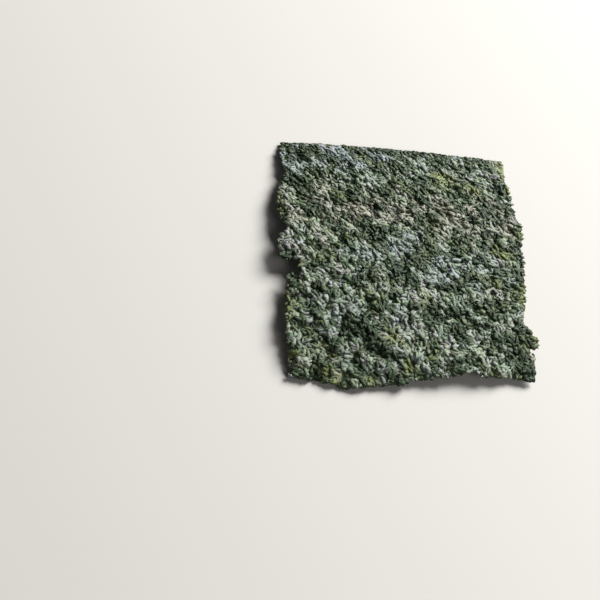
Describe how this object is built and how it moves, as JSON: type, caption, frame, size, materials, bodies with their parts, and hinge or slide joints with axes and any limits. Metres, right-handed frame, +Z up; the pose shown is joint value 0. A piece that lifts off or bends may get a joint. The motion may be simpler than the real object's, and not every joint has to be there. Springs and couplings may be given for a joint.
{
  "type": "nori sheet",
  "caption": "Thin rectangle of roasted laver, gently arched, rough side up, with one clean cut edge and ragged grown edges; an edible wrap or snack.",
  "frame": {"origin": "Under the middle of the sheet, on the surface that it lies on: the centre of the base of its box.", "axes": "+Z is up, out of the rough side. Y runs along the sheet's longer sides, with +Y towards the clean cut edge. X runs across it."},
  "size_m": [0.1002, 0.1098, 0.0082],
  "materials": {
    "laver": "satin"
  },
  "bodies": {
    "root": {"nori_sheet": "laver"}
  },
  "joints": []
}
